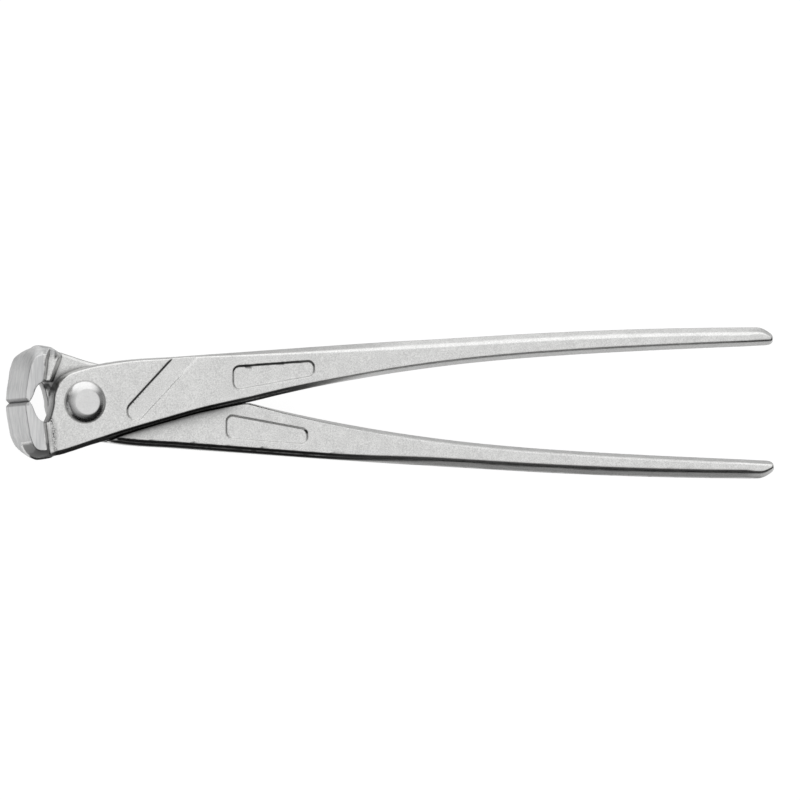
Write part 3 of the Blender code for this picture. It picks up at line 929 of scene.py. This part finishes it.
def forged_material(name):
    """Bright shot-blasted steel, darkened and made rougher by painted shade in the hollows and on
    some edges, with a scuffed line beside the jaw.
    """
    material, tree, shader = new_material(name)
    spot = node(tree, "ShaderNodeTexCoord").outputs["Object"]
    hollow = node(tree, "ShaderNodeAttribute", attribute_name="hollow").outputs["Fac"]
    scuff = node(tree, "ShaderNodeAttribute", attribute_name="scuff").outputs["Fac"]
    fine = noise(tree, spot, scale=3400.0, detail=1.0)
    speck = noise(tree, spot, scale=1700.0, roughness=0.6)
    cloud = noise(tree, spot, scale=260.0, detail=3.0)
    grain = mix_number(tree, SPECK_SHARE, fine, speck)
    tone = band(tree, mix_number(tree, CLOUD_SHARE, grain, cloud), *FORGED_TONES)
    color = mix_color(tree, tone, *FORGED_COLORS)
    pits = math_node(tree, "MULTIPLY", scuff, band(tree, fine, *PIT_TONES))
    # Painted shade: the hollow attribute darkens the colour towards near-black; the scuff's pits
    # take the same colour.
    dark = math_node(tree, "MULTIPLY", hollow, FORGED_PAINTED_SHADE_SHARE)
    color = mix_color(tree, math_node(tree, "MAXIMUM", dark, pits), color, FORGED_SHADE_AND_PIT_COLOR)
    rough = math_node(tree, "MULTIPLY", cloud, CLOUD_ROUGHNESS)
    rough = math_node(tree, "ADD", FORGED_ROUGHNESS, rough)
    dull = math_node(tree, "MULTIPLY", hollow, HOLLOW_ROUGHNESS)
    tree.links.new(math_node(tree, "ADD", rough, dull), shader.inputs["Roughness"])
    finish_steel(tree, shader, color, FORGED_BUMP, math_node(tree, "SUBTRACT", grain, pits))
    return material


def ground_material(name):
    """Steel ground along the jaws' height, whose fine grooves spread the light across them."""
    material, tree, shader = new_material(name)
    spot = node(tree, "ShaderNodeTexCoord").outputs["Object"]
    streaks = stretched(tree, spot, (1.0, 0.05, 1.0))
    streaks = noise(tree, streaks, scale=2400.0, detail=3.0, roughness=0.6)
    wide = noise(tree, stretched(tree, spot, (1.0, 0.10, 1.0)), scale=700.0)
    tone = band(tree, mix_number(tree, WIDE_SHARE, streaks, wide), *GROUND_TONES)
    color = mix_color(tree, tone, *GROUND_COLORS)
    # Painted shade: the hollow attribute darkens the ground steel's colour too.
    hollow = node(tree, "ShaderNodeAttribute", attribute_name="hollow").outputs["Fac"]
    dark = math_node(tree, "MULTIPLY", hollow, GROUND_PAINTED_SHADE_SHARE)
    color = mix_color(tree, dark, color, GROUND_PAINTED_SHADE)
    grooves = node(
        tree, "ShaderNodeVectorTransform", {"Vector": GROOVE_DIRECTION},
        vector_type="VECTOR", convert_from="OBJECT", convert_to="WORLD",
    ).outputs[0]
    normal = node(tree, "ShaderNodeNewGeometry").outputs["Normal"]
    across = node(tree, "ShaderNodeVectorMath", {0: grooves, 1: normal}, operation="CROSS_PRODUCT")
    tree.links.new(across.outputs[0], shader.inputs["Tangent"])
    shader.inputs["Roughness"].default_value = GROUND_ROUGHNESS
    shader.inputs["Anisotropic"].default_value = GROUND_ANISOTROPY
    finish_steel(tree, shader, color, GROUND_BUMP, streaks)
    return material


def rivet_material():
    """Smooth forged steel with a faint grain."""
    material, tree, shader = new_material("rivet_smooth_steel")
    spot = node(tree, "ShaderNodeTexCoord").outputs["Object"]
    fine = noise(tree, spot, scale=1500.0)
    coarse = noise(tree, spot, scale=350.0)
    grain = mix_number(tree, COARSE_SHARE, fine, coarse)
    color = mix_color(tree, grain, *RIVET_COLORS)
    rough = math_node(tree, "MULTIPLY", coarse, COARSE_ROUGHNESS)
    rough = math_node(tree, "ADD", RIVET_ROUGHNESS, rough)
    tree.links.new(rough, shader.inputs["Roughness"])
    finish_steel(tree, shader, color, RIVET_BUMP, grain)
    return material


def from_line(x, y, line):
    """The distance in plan from a straight line between two points."""
    start, end = np.array(line)
    run = end - start
    share = np.clip(((x - start[0]) * run[0] + (y - start[1]) * run[1]) / (run @ run), 0, 1)
    return np.hypot(x - start[0] - share * run[0], y - start[1] - share * run[1])


def forged_skin(x, y, z, normals):
    """The patch on the jaw's outer corner that the grinding doesn't reach."""
    ripple = sum(height * np.sin(z / run) for height, run in SKIN_RIPPLES)
    border = SKIN_CORNER[0] - SKIN_SLANT * (y - SKIN_CORNER[1]) + ripple
    return (x > border) & (y < SKIN_TOP) & (z > SKIN_LEVEL) & (normals[:, 2] < SKIN_FACING)


def painted_hollow_shade(x, z, points, normals, fullness):
    """Painted shade, from how deep the points lie in the closed tool's hollows."""
    place = (points + normals * HOLLOW_REACH) / (SPARSE * VOXEL) - CORNER / SPARSE
    hollow = np.clip((sample(fullness, place) - HOLLOW_START) / HOLLOW_RUN, 0, 1)
    hollow[(x > HOLLOW_END) | ((x > LAP_HOLLOW_END) & (z > 0))] = 0
    return hollow


def jaw_flank_shade(x, y, z, normals):
    """The steep wall at the jaw's back, above the lap, which gets painted shade."""
    flank = (x > FLANK_RUN[0]) & (x < FLANK_RUN[1]) & (y > FLANK_RISE[0]) & (y < FLANK_RISE[1])
    return flank & (np.abs(normals[:, 2]) < FLANK_FACING) & (z > 0)


def painted_crease_shade(x, y, z):
    """Painted shade along the short crease between the jaw and the joint."""
    along = (x - CREASE[0]) / CREASE_SIZE[0]
    up = (y - CREASE[1]) / CREASE_SIZE[1]
    return np.minimum(CREASE_PAINTED_SHADE * np.exp(-(along**2) - up**2) * (z < CREASE_LEVEL), 1)


def trimmed_band_shade(x, y, z, normals):
    """Painted shade on the bands that the trimming of the flash leaves under the lever and outside
    it.
    """
    ny = normals[:, 1]
    steep = np.clip((TRIM_FLAT - np.abs(normals[:, 2])) / TRIM_FADE, 0, 1)
    under = smooth_step(z, *TRIM_LEVELS) * smooth_step(-ny, *TRIM_FACING)
    under *= smooth_step(x, *UNDER_SHADE_START) * (1 - smooth_step(x, *UNDERSIDE_TRIM_END))
    outside = smooth_step(-z, *TRIM_LEVELS) * smooth_step(ny, *TRIM_FACING)
    outside *= smooth_step(x, *OUTSIDE_SHADE_START) * (1 - smooth_step(x, *OUTSIDE_TRIM_END))
    outer_edge = smooth_curve(OUTER_EDGE, np.clip(x, HANDLE_START, LENGTH))
    outside *= y > OUTSIDE_SHARE * outer_edge
    return steep * np.maximum(under, outside)


def ramp_shade(x, y, z):
    """The shade on the recess's half, close to the other lever's underside."""
    underside = -smooth_curve(INNER_EDGE, np.clip(x, SHOULDER_FROM_LIPS, CROSSING_FROM_LIPS))
    from_ramp = y - underside
    shade = RAMP_SHADE * np.exp(-np.maximum(from_ramp, 0) / RAMP_SHADE_REACH)
    shade *= (z < RAMP_SHADE_LEVEL) & (from_ramp > -RAMP_SHADE_OVERRUN) & (y > 0)
    return shade * smooth_step(x, *OUTSIDE_SHADE_START) * (1 - smooth_step(x, *RAMP_SHADE_END))


def surface_masks(points, normals, fullness, turned):
    """Where the forging is ground, how much shade is painted on it, and where it is scuffed."""
    x, y, z = points.T
    x = x + PIVOT_FROM_LIPS
    from_edge = y - smooth_curve(INNER_EDGE, np.clip(x, SHOULDER_FROM_LIPS, LENGTH))
    ground = x < BACK_AT_SIDE + GROUND_OVERRUN
    ground |= (from_edge < GROUND_EDGE) & (x < GROUND_EDGE_END) & (z < 0)
    skin = forged_skin(x, y, z, normals) & (not turned)
    ground &= ~skin
    groove = x < BEVEL_DEPTH + GROOVE_OVERRUN[0]
    groove &= np.abs(y) < BEVEL_HEIGHT + GROOVE_OVERRUN[1]
    # Painted shade in the closed tool's hollows, kept off the ground steel.
    dark = painted_hollow_shade(x, z, points, normals, fullness) * ~ground
    # Painted shade in the cutting edge's groove.
    dark = np.maximum(dark, GROOVE_PAINTED_SHADE * groove)
    skin &= x < SKIN_END
    # Painted shade on the patch of forged skin.
    dark = np.maximum(dark, SKIN_PAINTED_SHADE * skin)
    beside_jaw = (x < BESIDE_JAW_END) & (z < 0)
    dark = dark * np.where(beside_jaw, smooth_step(from_edge, *BESIDE_JAW_BAND), 1)
    # More painted shade: the skin patch's underside, the jaw's back wall, the crease, the trimmed
    # bands and the recess beside the ramp.
    for shade in (
        skin & (normals[:, 1] < SKIN_UNDERSIDE),
        FLANK_PAINTED_SHADE * jaw_flank_shade(x, y, z, normals),
        painted_crease_shade(x, y, z),
        trimmed_band_shade(x, y, z, normals),
        ramp_shade(x, y, z),
    ):
        dark = np.maximum(dark, shade)
    scuff = np.exp(-((from_line(x, y, SCUFF_LINE) / SCUFF_WIDTH) ** 2)) * (z > SCUFF_LEVEL)
    return ground, dark, scuff


def make_levers():
    blank = blank_forging()
    fullness = crevices(blank)
    for name, body, slot, outlines, face, turned in (
        ("front_lever_forging", "front_lever_body", "front_forging",
         (slot_outline(), panel_outline(PANEL_START)), 1, False),
        ("rear_lever_forging", "rear_lever_body", "rear_forging",
         (panel_outline(REAR_PANEL_START),), -1, True),
    ):
        values = blank.copy()
        for outline in outlines:
            values = cut(values, distances(panel_rings(outline, face)), PANEL_SOFT)
        points, normals, triangles, quads = surface(softened(values, 1))
        ground, dark, scuff = surface_masks(points, normals, fullness, turned)
        lever = mesh_object(
            name, placed(points, turned, PIVOT), placed(normals, turned, (0, 0, 0)), triangles, quads
        )
        # The hollow attribute carries all the painted shade to the materials.
        for kind, mask in (("hollow", dark), ("scuff", scuff)):
            attribute = lever.data.attributes.new(kind, "FLOAT", "POINT")
            attribute.data.foreach_set("value", mask.astype(np.float32))
        lever.data.materials.append(forged_material(name + "_shot_blasted"))
        lever.data.materials.append(ground_material(name + "_ground"))
        slots = np.concatenate([ground[faces].mean(axis=1) > 0.5 for faces in (triangles, quads)])
        lever.data.polygons.foreach_set("material_index", slots.astype(np.int32))
        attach(lever, body)
        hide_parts(name.replace("_forging", ""))


def make_rivet():
    """One turned solid: the shank, with a domed head on each end."""
    seat = HALF_JOINT + HALF_GAP
    top = HALF_JOINT + RUNNING_GAP + RIVET_HEAD_HEIGHT
    dome = [(RIVET_HEAD_RADIUS + r, top + z) for r, z in RIVET_DOME]
    half = [(SHANK_RADIUS, 0.0), (SHANK_RADIUS, seat), (dome[0][0] - RIVET_FOOT_STEP, seat)]
    half += [tuple(place) for place in smooth_path(dome, DOME_POINTS)]
    half += [(radius, top) for radius in RIVET_FLAT_RINGS]
    profile = [(r, -z) for r, z in reversed(half[1:])] + half
    steps = RIVET_STEPS
    points = [circle(radius, z, steps) for radius, z in profile[1:-1]]
    rings = len(points)
    points = np.concatenate(points + [np.array([(0, 0, profile[0][1]), (0, 0, profile[-1][1])])])
    faces = []
    for ring in range(rings - 1):
        for i in range(steps):
            j = (i + 1) % steps
            low = ring * steps
            faces.append((low + i, low + j, low + steps + j, low + steps + i))
    bottom = rings * steps
    for i in range(steps):
        j = (i + 1) % steps
        faces.append((bottom, j, i))
        faces.append((bottom + 1, (rings - 1) * steps + i, (rings - 1) * steps + j))
    mesh = bpy.data.meshes.new("pivot_rivet_smooth")
    mesh.from_pydata((points + np.array(PIVOT)).tolist(), [], faces)
    mesh.shade_smooth()
    mesh.set_sharp_from_angle(angle=RIVET_SHARP_ANGLE)
    rivet = linked("pivot_rivet_smooth", mesh)
    mesh.materials.append(rivet_material())
    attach(rivet, "rear_lever_body")
    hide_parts("pivot_rivet")


def make_floor():
    """White to the camera, a plain bounce for the tool's light, and hidden from reflections."""
    mesh = bpy.data.meshes.new("floor")
    corners = [(-1, -1), (1, -1), (1, 1), (-1, 1)]
    places = [(x * FLOOR_HALF, y * FLOOR_HALF, FLOOR_LEVEL) for x, y in corners]
    mesh.from_pydata(places, [], [(0, 1, 2, 3)])
    floor = linked("floor", mesh)
    material, tree, shader = new_material("white_floor")
    tree.nodes.remove(shader)
    output = tree.nodes["Material Output"]
    path = node(tree, "ShaderNodeLightPath")
    seen = math_node(tree, "ADD", path.outputs["Is Camera Ray"], path.outputs["Is Glossy Ray"], True)
    seen = math_node(tree, "ADD", seen, path.outputs["Is Transmission Ray"], True)
    plain = node(tree, "ShaderNodeBsdfDiffuse", {"Color": (0.8, 0.8, 0.8, 1)})
    matt = node(tree, "ShaderNodeBsdfDiffuse", {"Color": (0.15, 0.15, 0.15, 1)})
    glow = node(tree, "ShaderNodeEmission", {"Color": (1, 1, 1, 1), "Strength": FLOOR_GLOW})
    lit = node(tree, "ShaderNodeAddShader", {0: matt.outputs[0], 1: glow.outputs[0]})
    mixed = node(tree, "ShaderNodeMixShader", {0: seen, 1: plain.outputs[0], 2: lit.outputs[0]})
    tree.links.new(mixed.outputs[0], output.inputs["Surface"])
    mesh.materials.append(material)
    floor.visible_glossy = False


def make_world():
    """Light overhead, a bright wall on the picture's upper side and a dark one on its lower side."""
    world = bpy.data.worlds.new("studio")
    bpy.context.scene.world = world
    world.use_nodes = True
    tree = world.node_tree
    background = tree.nodes["Background"]
    direction = node(tree, "ShaderNodeTexCoord").outputs["Generated"]
    parts = node(tree, "ShaderNodeSeparateXYZ", {0: direction})
    across, height = parts.outputs["Y"], parts.outputs["Z"]
    wall = math_node(tree, "MULTIPLY", band(tree, across, *WALL_ACROSS), WALL_LIGHT)
    side = math_node(tree, "MULTIPLY", band(tree, across, *SIDE_ACROSS), SIDE_LIGHT)
    level = math_node(tree, "ADD", wall, side)
    ends = band(tree, math_node(tree, "ABSOLUTE", parts.outputs["X"]), *ENDS_ALONG)
    ends = math_node(tree, "MULTIPLY", ends, band(tree, height, *ENDS_HEIGHT))
    ends = math_node(tree, "MULTIPLY", ends, band(tree, across, *ENDS_ACROSS))
    level = math_node(tree, "MAXIMUM", level, math_node(tree, "MULTIPLY", ends, ENDS_LIGHT))
    level = mix_number(tree, band(tree, height, *OVERHEAD_HEIGHT), level, OVERHEAD_LIGHT)
    path = node(tree, "ShaderNodeLightPath")
    glossy, through = path.outputs["Is Glossy Ray"], path.outputs["Is Transmission Ray"]
    seen = math_node(tree, "ADD", glossy, through, True)
    down = math_node(tree, "MULTIPLY", height, -1.0)
    below = math_node(tree, "MULTIPLY", band(tree, down, *BELOW_DEPTH), seen)
    below_light = mix_number(tree, band(tree, across, *BELOW_ACROSS), *BELOW_LIGHTS)
    level = mix_number(tree, below, level, below_light)
    nadir = math_node(tree, "MULTIPLY", band(tree, down, *NADIR_DEPTH), seen)
    aside = band(tree, math_node(tree, "ABSOLUTE", across), *NADIR_ASIDE)
    nadir = math_node(tree, "MULTIPLY", nadir, math_node(tree, "SUBTRACT", 1.0, aside))
    level = mix_number(tree, nadir, level, NADIR_LIGHT)
    level = mix_number(tree, path.outputs["Is Camera Ray"], level, 1.0)
    background.inputs["Color"].default_value = (1, 1, 1, 1)
    tree.links.new(level, background.inputs["Strength"])


def make_camera():
    camera = bpy.data.cameras.new("camera")
    camera.sensor_width = SENSOR
    camera.lens = SENSOR * CAMERA_DISTANCE / PICTURE_WIDTH
    camera.clip_start, camera.clip_end = CAMERA_CLIP
    obj = linked("camera", camera)
    up = Vector(PICTURE_UP).normalized()
    right = Vector(PICTURE_RIGHT)
    right = (right - up * right.dot(up)).normalized()
    away = right.cross(up)
    roll = Matrix.Rotation(PICTURE_ROLL, 3, away)
    turn = Matrix((roll @ right, roll @ up, away)).transposed().to_4x4()
    obj.matrix_world = Matrix.Translation(Vector(PICTURE_CENTRE) + away * CAMERA_DISTANCE) @ turn
    bpy.context.scene.camera = obj


make_levers()
make_rivet()
make_floor()
make_world()
make_camera()
bpy.context.scene.view_settings.view_transform = "Standard"
